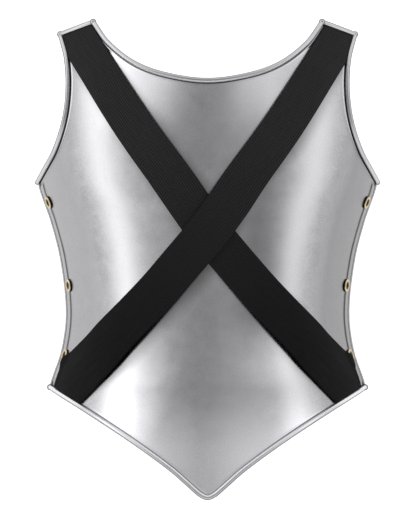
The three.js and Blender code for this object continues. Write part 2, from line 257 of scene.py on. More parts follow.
def edge_distance(x, y):
    """Distance in from the side edge's line along the section, which goes on past the corners."""
    half, flat, tilt = half_width(y), flatness(y), tilt_at(y)
    steps = 16
    t = np.minimum(x / half, 1)
    part = t[:, None] + (1 - t[:, None]) * (np.arange(steps) + 0.5) / steps
    sine = tilt[:, None] * ((1 - flat[:, None]) * part + flat[:, None] * part**3)
    return half * (1 - t) * (1 / np.sqrt(1 - sine**2)).mean(axis=1)


def in_from_edge(y, distance):
    """Half width of the place a distance in from the side edge, along the sheet."""
    steps = 12
    half, flat, tilt = half_width(y), flatness(y), tilt_at(y)
    x = half
    for _ in range(steps):
        t = x / half
        sine = tilt * ((1 - flat) * t + flat * t**3)
        x = x - distance / steps * np.sqrt(1 - sine**2)
    return x


# The sheet laid out nearly flat: u is about the length along a section from its centre.
WIDEST = math.pi * 0.36


def unroll(x, y):
    half = half_width(y)
    return half / math.sin(WIDEST) * np.arcsin(np.clip(x / half, -1.05, 1.05) * math.sin(WIDEST))


def roll_up(u, y):
    half = half_width(y)
    return half / math.sin(WIDEST) * np.sin(u * math.sin(WIDEST) / half)


# ---------------------------------------------------------------------------------------------
# Rims
# ---------------------------------------------------------------------------------------------


def evenly(x, y, step):
    """Stations (x, y) at equal steps along the sheet on a line given closely."""
    line = place(x, y)
    along = np.concatenate([[0], np.cumsum(np.linalg.norm(np.diff(line, axis=0), axis=1))])
    stops = np.linspace(0, along[-1], max(2, round(along[-1] / step) + 1))
    return np.stack([np.interp(stops, along, x), np.interp(stops, along, y)], -1)


def run(start, end):
    return np.linspace(start, end, 400)


def right_rims(step):
    """The rims of the right half, anticlockwise round the outline."""
    lower_x, side_y = run(0, LOWER_LINE[0][0]), run(HIP_Y, ARMPIT_Y)
    arm_y, neck_x = run(ARM_LINE[-1][0], ARM_LINE[0][0]), run(NECK_LINE[-1][0], 0)
    end_x = run(SHOULDER_OUT[0], SHOULDER_IN[0])
    end_y = run(SHOULDER_OUT[1], SHOULDER_IN[1])
    return {
        "lower": evenly(lower_x, lower_y(lower_x), step),
        "side": evenly(half_width(side_y), side_y, step),
        "arm": evenly(arm_x(arm_y), arm_y, step),
        "end": evenly(end_x, end_y, step),
        "neck": evenly(neck_x, neck_y(neck_x), step),
    }


def flip(line):
    """A line of the right half as that of the left half, still anticlockwise."""
    return (line * [-1, 1])[::-1]


def directions(line):
    """Along, inward and up at each station of a rim."""
    up = normal(line[:, 0], line[:, 1])
    along = unit(np.gradient(place(line[:, 0], line[:, 1]), axis=0))
    up = unit(up - along * (up * along).sum(-1, keepdims=True))
    return along, np.cross(up, along), up


def tree_of(points):
    tree = KDTree(len(points))
    for i, point in enumerate(points):
        tree.insert(point, i)
    tree.balance()
    return tree


FINE_RIMS = right_rims(0.6)


def rim_tree(*names):
    lines = [turn(FINE_RIMS[name]) for name in names for turn in (np.array, flip)]
    stations = np.concatenate(lines)
    return tree_of(place(stations[:, 0], stations[:, 1]))


def distances(tree, points):
    return np.array([tree.find(point)[2] for point in points])


# ---------------------------------------------------------------------------------------------
# Meshes
# ---------------------------------------------------------------------------------------------


class Part:
    """Vertices in millimetres with faces, and tones of each vertex.

    Tones: painted shade in crevices, down the wires' outsides, round the knobs and in the eyelets' hollows;
    a painted soft shadow of the straps, painted shade on the flanks and an even painted shade over the
    wires; and a painted highlight that brightens the sheet.
    """

    TONES = ("shade", "painted_soft_shade", "painted_highlight")

    def __init__(self, points=(), faces=(), **tones):
        self.points = np.array(points, float).reshape(-1, 3)
        self.faces = [tuple(face) for face in faces]
        count = len(self.points)
        self.tones = {key: np.broadcast_to(tones.get(key, 0.0), count).copy() for key in self.TONES}


def joined(parts):
    whole = Part()
    for part in parts:
        first = len(whole.points)
        whole.faces += [tuple(first + i for i in face) for face in part.faces]
        whole.points = np.concatenate([whole.points, part.points])
        for key, values in part.tones.items():
            whole.tones[key] = np.concatenate([whole.tones[key], values])
    return whole


def ring_faces(rows, around, caps=True):
    """Faces of a tube of closed rings, rows by around, with its ends closed."""
    faces = []
    for r in range(rows - 1):
        for c in range(around):
            d = (c + 1) % around
            faces.append((r * around + c, r * around + d, (r + 1) * around + d, (r + 1) * around + c))
    if caps:
        faces.append(tuple(reversed(range(around))))
        faces.append(tuple(range((rows - 1) * around, rows * around)))
    return faces


def to_object(name, part, material, attributes=None):
    """A smooth mesh object that rides on the part's only body."""
    mesh = bpy.data.meshes.new(name)
    world = (part.points + [0, ORIGIN_Y, 0]) * MM
    world[:, 2] = np.maximum(world[:, 2], 0)
    mesh.from_pydata(world.tolist(), [], part.faces)
    mesh.polygons.foreach_set("use_smooth", [True] * len(mesh.polygons))
    for key, values in part.tones.items():
        layer = mesh.attributes.new(key, "FLOAT", "POINT")
        layer.data.foreach_set("value", values.astype(np.float32))
    for key, values in (attributes or {}).items():
        layer = mesh.attributes.new(key, "FLOAT_VECTOR", "POINT")
        layer.data.foreach_set("vector", np.asarray(values, np.float32).ravel())
    mesh.materials.append(material)
    mesh.validate()
    piece = bpy.data.objects.new(name, mesh)
    bpy.context.scene.collection.objects.link(piece)
    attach(piece, "root")
    return piece


# ---------------------------------------------------------------------------------------------
# Plate
# ---------------------------------------------------------------------------------------------

RIM_STEP = 2.4
WIRE_SIDES = 20
GRID_STEP = 3.2
ROLL_RINGS = (1.4, 1.9, 2.3, 2.7, 3.1, 3.5, 3.9, 4.3, 4.8, 5.6, 7)
SIDE_RINGS = (0.9, 1.3, 1.7, 2.1, 2.6, 4.5, 7, 9.5, 11.5, 12.3, 12.7, 13.1, 13.6, 15)
HOLE_RINGS = (HOLE_RADIUS, 5.2, 6.4)
HOLE_SIDES = 28
RING_SLACK = 0.12  # how much nearer to a rim than its own distance a ring may come
# Room that the grid keeps from the rims, and every free station from the centre of a hole.
GRID_FROM_ROLL, GRID_FROM_SIDE, FREE_FROM_HOLE = 8.4, 17, 7.6

LIP_AT, LIP_WIDTH, LIP_RISE = 3.9, 0.55, 0.3
SIDE_GROOVE = 1.5
HEM_END = (4, 8)  # distance from a roll where the hem begins and has its full height
# Degrees round a wire where its painted crevice shade, or the painted shade down its outside, begins and is
# full.
ROLL_ANGLE, BEAD_ANGLE = (96, 118), (74, 96)
OUTER_ANGLE, LOWER_OUTER_ANGLE = (-32, -62), (-12, -48)

# How dark the painted shade is in the crevices beside the rolls, the side's bead and the hem's inner edge.
CREVICE_SHADE = {"lower": 0.55, "arm": 1.0, "end": 0.9, "neck": 0.8}
BEAD_CREVICE_SHADE, HEM_EDGE_SHADE = 0.85, 0.75
# Distance from a rim where its painted crevice shade begins and is full, and the width of the hem's.
ROLL_SHADE_OUTSIDE, ROLL_SHADE_INSIDE, BEAD_SHADE_AT = (3.7, 2.9), (0.8, 1.6), (4.2, 2.7)
HEM_SHADE_WIDTH = 0.9
# Painted shade down the wires' outsides and round the knobs' sides, and an even painted shade over the
# wires.
OUTER_PAINTED_SHADE, KNOB_PAINTED_SHADE, ROLL_PAINTED_SHADE = 0.76, 0.85, 0.1
# A painted highlight along the lower roll.
LOWER_ROLL_HIGHLIGHT = 0.45

# The straps' painted soft shadow. Its reach starts and is full at these y, at the top and at the foot.
STRAP_SHADE_TOP, STRAP_SHADE_FOOT = (215, 130), (-145, -95)
# It reaches further by this share near the crossing, from none to all between these distances.
CROSSING_GAIN, CROSSING_NEAR = 0.8, (80, 10)
# Its blur at no reach, and what full reach adds to the blur and to its shift down and to the right.
SHADOW_BLUR, SHADOW_SPREAD, SHADOW_SHIFT = 4.5, 6, 5
# The painted soft shadow right of the crossing: the x of its centre, its reach sideways, and how dark it is.
CROSSING_SHADE = (50, 28, 0.85)
CROSSING_SHADE_TOP, CROSSING_SHADE_FOOT = (128, 80), (-105, -45)  # y where it begins and is full

# Painted highlight, a brighter sheet: y where it begins and is full at the point, on the left above it, and
# beside the neck.
HIGHLIGHT_POINT, HIGHLIGHT_LEFT, HIGHLIGHT_TOP = (-125, -205), (-100, -158), (120, 165)
# On the left: x where it begins and is full, and x where it is down to its outer level and still full.
LEFT_INNER, LEFT_OUTER, LEFT_LEVEL = (-25, -65), (-115, -80), 0.45
# Beside the neck on each side: strength, and x where it begins and is full from the middle and from outside.
NECK_HIGHLIGHT = ((0.75, (-8, -45), (-115, -95)), (0.5, (8, 38), (95, 60)))
# The flanks' painted shade, darker where the sheet faces sideways.
FLANK_LEVEL = (0.76, 0.6)  # upward part of the sheet's normal where the flanks' shade begins and is full
FLANK_SHADE = (0.9, 0.68)  # on the right and on the left


def eyelet_seat(side, y):
    x = side * in_from_edge(np.array(y), EYELET_FROM_EDGE)
    return place(x, y), normal(x, np.array(float(y)))


def sheet_stations():
    """Stations of the sheet's mesh: its outline, rings beside the rims and a grid in the middle."""
    rims = right_rims(RIM_STEP)
    order = ["lower", "side", "arm", "end", "neck"]
    half = np.concatenate([rims[name] for name in order])
    outline = np.concatenate([half, flip(half)])
    gap = np.linalg.norm(outline - np.roll(outline, 1, axis=0), axis=1)
    outline = outline[gap > 0.5]

    # The rings beside the side edge go on past the arm pit, so that the hem ends inside them.
    side_y = np.concatenate([rims["side"][:, 1], ARMPIT_Y + RIM_STEP * np.arange(1, 5)])
    rings = []
    for name, line in rims.items():
        for turn, side in ((np.array, 1), (flip, -1)):
            stations = turn(line)
            _, inward, _ = directions(stations)
            for distance in SIDE_RINGS if name == "side" else ROLL_RINGS:
                if name == "side":
                    ring = np.stack([side * in_from_edge(side_y, distance), side_y], -1)
                else:
                    ring = (place(stations[:, 0], stations[:, 1]) + inward * distance)[:, :2]
                rings.append(np.column_stack([ring, np.full(len(ring), distance)]))
    rings = np.concatenate(rings)

    rows = np.arange(-240, 246, GRID_STEP * math.sqrt(3) / 2)
    grid = []
    for i, y in enumerate(rows):
        u = np.arange(-240, 240, GRID_STEP) + GRID_STEP / 2 * (i % 2)
        grid.append(np.stack([roll_up(u, y), np.full(len(u), y)], -1))
    grid = np.concatenate(grid)
    reach = half_width(grid[:, 1])
    grid = grid[np.abs(grid[:, 0]) < reach]
    return outline, rings, grid


def inside(points, loop):
    """Which points lie inside a closed loop."""
    result = np.zeros(len(points), bool)
    for (x1, y1), (x2, y2) in zip(loop, np.roll(loop, -1, axis=0)):
        if y1 == y2:
            continue
        crosses = (points[:, 1] < max(y1, y2)) & (points[:, 1] >= min(y1, y2))
        at = x1 + (points[:, 1] - y1) * (x2 - x1) / (y2 - y1)
        result ^= crosses & (points[:, 0] < at)
    return result


def circle_round(up, sides):
    """Unit vectors to the corners of a circle that is square to up."""
    across = unit(np.cross(up, [0, 1, 0]))
    other = np.cross(up, across)
    turn = np.linspace(0, 2 * math.pi, sides, endpoint=False)
    return np.cos(turn)[:, None] * across + np.sin(turn)[:, None] * other


def hole_rings(centre, up):
    """Rings of stations round an eyelet's hole: the hole's own edge first."""
    circle = circle_round(up, HOLE_SIDES)
    return [(centre + circle * radius)[:, :2] for radius in HOLE_RINGS]


def sheet_part():
    outline, rings, grid = sheet_stations()
    roll_tree = rim_tree("lower", "arm", "end", "neck")
    side_tree = rim_tree("side")

    ring_places = place(rings[:, 0], rings[:, 1])
    room = np.minimum(rings[:, 2], ROLL_RINGS[-1] + 0.6) - RING_SLACK
    clear_of_roll = distances(roll_tree, ring_places) > room
    clear_of_side = distances(side_tree, ring_places) > rings[:, 2] - RING_SLACK
    rings = rings[clear_of_roll & clear_of_side, :2]
    grid_places = place(grid[:, 0], grid[:, 1])
    clear_of_roll = distances(roll_tree, grid_places) > GRID_FROM_ROLL
    clear_of_side = distances(side_tree, grid_places) > GRID_FROM_SIDE
    grid = grid[clear_of_roll & clear_of_side]
    free = np.concatenate([rings, grid])
    free = free[inside(free, outline)]

    seats = [eyelet_seat(side, y) for side in (-1, 1) for y in EYELET_ROWS.values()]
    holes = [hole_rings(*seat) for seat in seats]
    free_places = place(free[:, 0], free[:, 1])
    for centre, _ in seats:
        away = np.linalg.norm(free_places - centre, axis=1) > FREE_FROM_HOLE
        free, free_places = free[away], free_places[away]

    loops = [outline] + [rings_of[0] for rings_of in holes]
    extra = [ring for rings_of in holes for ring in rings_of[1:]]
    stations = np.concatenate(loops + extra + [free])
    flat = np.stack([unroll(stations[:, 0], stations[:, 1]), stations[:, 1]], -1)
    edges, first = [], 0
    for loop in loops:
        count = len(loop)
        edges += [(first + i, first + (i + 1) % count) for i in range(count)]
        first += count
    made = delaunay_2d_cdt([Vector(p) for p in flat], edges, [], 0, 1e-5)
    flat, triangles = np.array([tuple(p) for p in made[0]]), made[2]

    stations = np.stack([roll_up(flat[:, 0], flat[:, 1]), flat[:, 1]], -1)
    middles = stations[np.array(triangles)].mean(axis=1)
    keep = inside(middles, outline)
    middle_places = place(middles[:, 0], middles[:, 1])
    for centre, _ in seats:
        keep &= np.linalg.norm(middle_places - centre, axis=1) > HOLE_RADIUS - 0.05
    triangles = [face for face, kept in zip(triangles, keep) if kept]
    used = sorted({i for face in triangles for i in face})
    renumber = {old: new for new, old in enumerate(used)}
    triangles = [tuple(renumber[i] for i in face) for face in triangles]
    stations = stations[used]
    return sheet_solid(stations, triangles, roll_tree, side_tree)


def sheet_solid(stations, triangles, roll_tree, side_tree):
    """Both faces of the sheet over the stations, with walls round its outline and holes."""
    x, y = stations.T
    middle = place(x, y)
    from_roll, from_side = distances(roll_tree, middle), distances(side_tree, middle)
    lip = LIP_RISE * np.exp(-(((from_roll - LIP_AT) / LIP_WIDTH) ** 2))
    hem_end = ease(*HEM_END, from_roll)
    from_edge = edge_distance(np.abs(x), y)
    hem = ease(SIDE_GROOVE, SIDE_GROOVE + 0.7, from_edge) * ease(HEM_WIDTH + 0.3, HEM_WIDTH - 0.5, from_edge)
    top = SHEET / 2 + lip * ease(3, 6, from_side) + HEM_RISE * hem * hem_end
    bottom = -SHEET / 2 + 0.15 * ease(6, 0, np.minimum(from_roll, from_side))
    points = np.concatenate([place(x, y, top), place(x, y, bottom)])

    count = len(stations)
    directed = dict.fromkeys(edge for a, b, c in triangles for edge in ((a, b), (b, c), (c, a)))
    walls = [(a, b) for a, b in directed if (b, a) not in directed]
    faces = list(triangles) + [(c + count, b + count, a + count) for a, b, c in triangles]
    faces += [(b, a, a + count, b + count) for a, b in walls]

    # Painted shade: dark crevices beside the rolls, inside the side's bead and along the hem's inner edge.
    strength = rim_strength(middle)
    painted_dark = strength * ease(*ROLL_SHADE_OUTSIDE, from_roll) * ease(*ROLL_SHADE_INSIDE, from_roll)
    beside_bead = BEAD_CREVICE_SHADE * ease(*BEAD_SHADE_AT, from_edge) * ((y < ARMPIT_Y) & (y > HIP_Y))
    past_hem = (from_edge - HEM_WIDTH - 0.3) / HEM_SHADE_WIDTH
    beside_hem = HEM_EDGE_SHADE * np.exp(-(past_hem**2)) * hem_end
    side_painted_dark = np.maximum(beside_bead, beside_hem)
    shade = np.concatenate([np.maximum(painted_dark, side_painted_dark), np.zeros(count)])
    # The straps' painted shadow, the flanks' painted shade and a painted highlight, on the top face only.
    painted_soft_shade = np.concatenate([sheet_painted_soft_shade(x, y), np.zeros(count)])
    painted_highlight = np.concatenate([sheet_painted_highlight(x, y), np.zeros(count)])
    return Part(points, faces, shade=shade, painted_soft_shade=painted_soft_shade, painted_highlight=painted_highlight)


def sheet_painted_soft_shade(x, y):
    """Painted shade on the sheet: the straps' painted shadow, most below and right of them, a painted shadow
    right of the crossing, and painted shade on its flanks.
    """
    ends = np.minimum(ease(*STRAP_SHADE_TOP, y), ease(*STRAP_SHADE_FOOT, y))
    reach = ends * (1 + CROSSING_GAIN * ease(*CROSSING_NEAR, np.hypot(x, y - CROSSING_Y)))
    blur = SHADOW_BLUR + SHADOW_SPREAD * reach
    soft_shades = []
    for side, shift, _ in STRAPS.values():
        from_x, from_y = x - SHADOW_SHIFT * reach, y + SHADOW_SHIFT * reach
        slant = np.arctan(strap_x(from_y + 0.5) - strap_x(from_y - 0.5))
        beside = np.abs(side * (from_x - shift) - strap_x(from_y)) * np.cos(slant)
        soft_shades.append(ease(blur, -blur, beside - strap_width(from_y) / 2))
    centre, reach, strength = CROSSING_SHADE
    lies = ease(*CROSSING_SHADE_TOP, y) * ease(*CROSSING_SHADE_FOOT, y)
    soft_shades.append(strength * lies * np.exp(-(((x - centre) / reach) ** 2)))
    soft_shades.append(ease(*FLANK_LEVEL, normal(x, y)[:, 2]) * np.where(x > 0, *FLANK_SHADE))
    return np.max(soft_shades, axis=0)


def sheet_painted_highlight(x, y):
    """Painted highlight: how much brighter the sheet's colour is made all over the point, higher up on the
    left, and beside the neck.
    """
    point = ease(*HIGHLIGHT_POINT, y)
    outer = LEFT_LEVEL + (1 - LEFT_LEVEL) * ease(*LEFT_OUTER, x)
    left = ease(*HIGHLIGHT_LEFT, y) * ease(*LEFT_INNER, x) * outer
    beside_neck = sum(most * ease(*inner, x) * ease(*outside, x) for most, inner, outside in NECK_HIGHLIGHT)
    return np.max([point, left, ease(*HIGHLIGHT_TOP, y) * beside_neck], axis=0)


def rim_strength(points):
    """How dark the painted crevice shade is beside the nearest roll."""
    trees = {name: rim_tree(name) for name in CREVICE_SHADE}
    apart = np.stack([distances(trees[name], points) for name in CREVICE_SHADE])
    return np.array(list(CREVICE_SHADE.values()))[apart.argmin(axis=0)]


def tube_part(line, radius, centre, strength, inner=ROLL_ANGLE, outer=OUTER_ANGLE, painted_highlight=0.0):
    """A round wire along a rim, with painted shade where it meets the sheet on its inner side and down its
    outside, away from the front.

    Angles round it are in degrees inwards, from the sheet's up for the inner painted shade and from z for
    the outer.
    """
    _, inward, up = directions(line)
    middle = place(line[:, 0], line[:, 1], centre)
    turn = np.linspace(0, 2 * math.pi, WIRE_SIDES, endpoint=False)
    ring = np.cos(turn)[None, :, None] * up[:, None] + np.sin(turn)[None, :, None] * inward[:, None]
    points = middle[:, None] + radius * ring
    degrees = (np.degrees(turn) + 180) % 360 - 180
    # Painted shade where the wire meets the sheet on its inner side.
    dark = strength * ease(*inner, degrees)
    lean = np.degrees(np.arctan2(inward[:, 2], up[:, 2]))
    from_z = (degrees - lean[:, None] + 180) % 360 - 180
    # Painted shade down the wire's outside, away from the front.
    side_shade = OUTER_PAINTED_SHADE * ease(*outer, from_z) * ease(-160, -125, from_z)
    shade = np.maximum(dark, side_shade).ravel()
    faces = [tuple(reversed(face)) for face in ring_faces(len(line), WIRE_SIDES)]
    return Part(points.reshape(-1, 3), faces, shade=shade, painted_soft_shade=ROLL_PAINTED_SHADE, painted_highlight=painted_highlight)


def ball_part(centre, radius, around=24, rows=14):
    """A closed ball for the rounded meeting of two rolls, with painted shade round its sides."""
    tilt = np.linspace(0, math.pi, rows + 1)[1:-1]
    turn = np.linspace(0, 2 * math.pi, around, endpoint=False)
    flat = np.sin(tilt)[:, None]
    rings = np.stack([flat * np.cos(turn), flat * np.sin(turn), np.cos(tilt)[:, None] + 0 * turn], -1)
    poles = np.array([[0, 0, 1], [0, 0, -1]])
    points = np.concatenate([rings.reshape(-1, 3), poles]) * radius + centre
    faces = [tuple(reversed(face)) for face in ring_faces(rows - 1, around, caps=False)]
    top, low, last = (rows - 1) * around, (rows - 1) * around + 1, (rows - 2) * around
    for c in range(around):
        d = (c + 1) % around
        faces.append((top, c, d))
        faces.append((low, last + d, last + c))
    degrees = np.degrees(tilt)
    # Painted shade round the ball's sides.
    side_shade = KNOB_PAINTED_SHADE * ease(32, 58, degrees) * ease(130, 105, degrees)
    return Part(points, faces, shade=np.concatenate([np.repeat(side_shade, around), [0, 0]]))


def plate_part():
    rims = right_rims(RIM_STEP)
    whole_lower = np.concatenate([flip(rims["lower"]), rims["lower"][1:]])
    whole_neck = np.concatenate([rims["neck"], flip(rims["neck"])[1:]])
    lower = (whole_lower, ROLL_RADIUS, ROLL_CENTRE, CREVICE_SHADE["lower"])
    parts = [
        sheet_part(),
        tube_part(*lower, outer=LOWER_OUTER_ANGLE, painted_highlight=LOWER_ROLL_HIGHLIGHT),
        tube_part(whole_neck, ROLL_RADIUS, ROLL_CENTRE, CREVICE_SHADE["neck"]),
    ]
    corners = ((SHOULDER_IN, KNOB_SHOULDER), (SHOULDER_OUT, KNOB_SHOULDER), (LOWER_LINE[0], KNOB_HIP))
    armpit = (arm_x(ARM_LINE[-1][0]), ARM_LINE[-1][0])
    for side, turn in ((1, np.array), (-1, flip)):
        for name in ("arm", "end"):
            parts.append(tube_part(turn(rims[name]), ROLL_RADIUS, ROLL_CENTRE, CREVICE_SHADE[name]))
        side_rim = turn(rims["side"])
        parts.append(tube_part(side_rim, BEAD_RADIUS, BEAD_CENTRE, BEAD_CREVICE_SHADE, inner=BEAD_ANGLE))
        for (x, y), radius in (*corners, (armpit, KNOB_ARMPIT)):
            parts.append(ball_part(place(side * x, y, ROLL_CENTRE), radius))
    return joined(parts)


# ---------------------------------------------------------------------------------------------
# Straps
# ---------------------------------------------------------------------------------------------

STRAP_COLUMNS = 72
STRAP_ROWS = 200
NOMINAL_LENGTH = 400  # a strap's extent in y, roughly, which the rounding of its ends is laid out on
EDGE_ROUND = 0.9
RIB_RISE = 0.16
# Distance from the side edge where a strap begins to climb the hem and is up, and the same at an eyelet.
HEM_CLIMB = (HEM_WIDTH + 11, HEM_WIDTH + 3)
EYELET_CLIMB, EYELET_CLIMB_REACH = 1.7, (17, 8.5)


def strap_place(strap, y, u):
    """Station on a strap at u from its middle line, laid out across STRAP_WIDTH."""
    side, shift, _ = strap
    slant = np.arctan(strap_x(y + 0.5) - strap_x(y - 0.5))
    out = u / STRAP_WIDTH * strap_width(y)
    return side * (strap_x(y) - out * np.cos(slant)) + shift, y + out * np.sin(slant)


def strap_end(strap, u, toward, trees):
    """Where a line along the strap comes to the rim, going up or down from the crossing."""
    y = np.arange(CROSSING_Y, toward, math.copysign(0.1, toward - CROSSING_Y))
    points = place(*strap_place(strap, y, u))
    spare = np.min([distances(tree, points) - room for tree, room in trees], axis=0)
    blocked = np.flatnonzero(spare < 0)
    return y[blocked[0] - 1] if len(blocked) else y[-1]


def strap_underside(x, y, before, after, is_over):
    """Height of a strap's underside above the middle of the sheet."""
    edge = [in_from_edge(y, distance) for distance in HEM_CLIMB]
    on_hem = HEM_RISE * ease(*edge, np.abs(x))
    places = place(x, y)
    seats = [eyelet_seat(side, EYELET_ROWS["lower"])[0] for side in (-1, 1)]
    from_eyelet = np.min([np.linalg.norm(places - seat, axis=-1) for seat in seats], axis=0)
    on_eyelet = EYELET_CLIMB * ease(*EYELET_CLIMB_REACH, from_eyelet)
    stand_off = STRAP_SLACK * ease(0, SLACK_RAMP, np.minimum(before, after))
    from_crossing = np.hypot(x, y - CROSSING_Y)
    over = CROSSING_CLIMB * ease(CROSSING_REACH, CROSSING_REACH / 2, from_crossing) * is_over
    return SHEET / 2 + STRAP_LIFT + on_hem + on_eyelet + stand_off + over


def strap_part(strap, trees):
    """A ribbed strap with rounded edges, the places of its points across and along it, and its mean width
    and its length along the sheet."""
    side, _, is_over = strap
    half = STRAP_WIDTH / 2
    rounding = half - EDGE_ROUND * (1 - np.array([1.0, 0.85, 0.6, 0.3]))
    middle = np.linspace(-half + EDGE_ROUND, half - EDGE_ROUND, STRAP_COLUMNS)
    u = np.concatenate([-rounding, middle, rounding[::-1]])
    ends = np.array([[strap_end(strap, value, toward, trees) for toward in (249, -200)] for value in u])
    ends_from, ends_to = ends.T
    close = np.array([0, 0.4, 1.2]) / NOMINAL_LENGTH
    t = np.concatenate([close, np.linspace(0.008, 0.992, STRAP_ROWS), 1 - close[::-1]])
    y = ends_from + (ends_to - ends_from) * t[:, None]
    u = np.broadcast_to(u, y.shape)
    px, py = strap_place(strap, y, u)

    base = strap_underside(px, py, ends_from - y, y - ends_to, is_over)
    inset = np.clip((np.abs(u) - (half - EDGE_ROUND)) / EDGE_ROUND, 0, 1)
    round_edge = np.sqrt(1 - inset**2)
    from_end = np.minimum(t, 1 - t)[:, None] * NOMINAL_LENGTH
    round_end = 0.55 + 0.45 * ease(0, 1.2, from_end)
    swell = STRAP_THICKNESS / 2 * round_edge * round_end
    rib = RIB_RISE * (0.5 + 0.5 * np.cos(2 * math.pi * RIBS * u / STRAP_WIDTH)) * round_edge
    middle_height = base + STRAP_THICKNESS / 2
    top = place(px, py, middle_height + swell - RIB_RISE + rib)
    low = place(px, py, middle_height - swell)
    rings = np.concatenate([top, low[:, -2:0:-1]], axis=1)
    weave = np.stack([u, y, np.zeros(y.shape)], -1)
    weave = np.concatenate([weave, weave[:, -2:0:-1]], axis=1)
    faces = ring_faces(rings.shape[0], rings.shape[1])
    if side > 0:
        faces = [tuple(reversed(face)) for face in faces]
    along, across = np.diff(low, axis=0)[:, :-1], np.diff(low, axis=1)[:-1]
    area = np.linalg.norm(np.cross(along, across), axis=-1).sum()
    length = np.linalg.norm(along, axis=-1).sum(axis=0).max()
    return Part(rings.reshape(-1, 3), faces), weave.reshape(-1, 3), (area / length, length)


def strap_trees():
    corners = np.array([SHOULDER_IN, SHOULDER_OUT, LOWER_LINE[0]])
    corners = np.concatenate([corners, corners * [-1, 1]])
    return [
        (rim_tree("lower", "arm", "end", "neck"), ROOM_ROLL),
        (rim_tree("side"), ROOM_SIDE),
        (tree_of(place(corners[:, 0], corners[:, 1])), ROOM_KNOB),
    ]


# ---------------------------------------------------------------------------------------------
# Eyelets
# ---------------------------------------------------------------------------------------------


def eyelet_part(side, y):
    """A pressed brass eyelet: a rounded flange outside, a barrel and a flange turned over inside."""
    under = SHEET / 2 + HEM_RISE + 0.1
    back = -SHEET / 2 - 0.1
    crown = under + 1.3
    # radius, height: round the section from the bore's back end, out over the flange and back
    section = [
        (EYELET_BORE + 0.05, back - 0.55),
        (EYELET_BORE + 0.5, back - 0.9),
        (EYELET_BACK - 0.7, back - 0.85),
        (EYELET_BACK - 0.1, back - 0.5),
        (EYELET_BACK, back),
        (EYELET_BARREL, back),
        (EYELET_BARREL, under),
        (EYELET_FLANGE - 0.2, under),
        (EYELET_FLANGE, under + 0.25),
        (EYELET_FLANGE - 0.1, under + 0.7),
        (EYELET_FLANGE - 0.6, crown - 0.15),
        (EYELET_FLANGE - 1.3, crown),
        (EYELET_BORE + 1.1, crown - 0.05),
        (EYELET_BORE + 0.4, crown - 0.35),
        (EYELET_BORE, crown - 0.95),
    ]
    centre, up = eyelet_seat(side, y)
    circle = circle_round(up, EYELET_SIDES)
    rings = np.array([centre + radius * circle + rise * up for radius, rise in section])
    count, around = len(section), EYELET_SIDES
    faces = []
    for r in range(count):
        s = (r + 1) % count
        for c in range(around):
            d = (c + 1) % around
            faces.append((r * around + c, s * around + c, s * around + d, r * around + d))
    # Painted shade, dark brown, in the bore, on the barrel and under the flanges.
    shade = np.repeat([1, 0.3, 0, 0, 0.4, 1, 1, 0.8, 0.3, 0, 0, 0, 0, 0.2, 0.7], around)
    return Part(rings.reshape(-1, 3), faces, shade=shade)


# ---------------------------------------------------------------------------------------------
# Materials
# ---------------------------------------------------------------------------------------------


WEFT_PITCH = 1.1
# The painted soft shade takes the steel's colour this far towards dark where it is full.
SOFT_SHADE_DEPTH = 0.62  # how far the soft shade takes the steel towards dark where it is full


class Nodes:
    """Short calls for building the node tree of a material or world."""

    def __init__(self, owner, shader="Principled BSDF"):
        owner.use_nodes = True
        self.owner = owner
        self.tree = owner.node_tree
        self.shader = self.tree.nodes[shader]

    def add(self, kind, inputs=None, **settings):
        node = self.tree.nodes.new(kind)
        for key, value in settings.items():
            setattr(node, key, value)
        for key, value in (inputs or {}).items():
            if isinstance(value, bpy.types.NodeSocket):
                self.tree.links.new(value, node.inputs[key])
            else:
                node.inputs[key].default_value = value
        return node

    def link(self, value, name):
        self.tree.links.new(value, self.shader.inputs[name])

    def set(self, **values):
        for name, value in values.items():
            self.shader.inputs[name.replace("_", " ")].default_value = value

    def attribute(self, name):
        return self.add("ShaderNodeAttribute", attribute_name=name)

    def objects(self):
        return self.add("ShaderNodeTexCoord").outputs["Object"]

    def noise(self, vector, scale, detail=3, roughness=0.5):
        inputs = {"Vector": vector, "Scale": scale, "Detail": detail, "Roughness": roughness}
        return self.add("ShaderNodeTexNoise", inputs).outputs["Fac"]

    def scaled(self, vector, scale):
        inputs = {"Vector": vector, "Scale": scale}
        return self.add("ShaderNodeMapping", inputs).outputs["Vector"]

    def math(self, operation, a, b):
        return self.add("ShaderNodeMath", {0: a, 1: b}, operation=operation).outputs[0]

    def fit(self, value, low, high, to_low, to_high, **settings):
        inputs = {
            "Value": value,
            "From Min": low,
            "From Max": high,
            "To Min": to_low,
            "To Max": to_high,
        }
        return self.add("ShaderNodeMapRange", inputs, **settings).outputs["Result"]

    def mix(self, factor, a, b):
        node = self.add("ShaderNodeMix", data_type="RGBA")
        for socket, value in ((node.inputs[0], factor), (node.inputs[6], a), (node.inputs[7], b)):
            if isinstance(value, bpy.types.NodeSocket):
                self.tree.links.new(value, socket)
            else:
                socket.default_value = value
        return node.outputs[2]

    def bump(self, height, strength, distance, below=None):
        inputs = {"Height": height, "Strength": strength, "Distance": distance}
        if below is not None:
            inputs["Normal"] = below
        return self.add("ShaderNodeBump", inputs).outputs["Normal"]


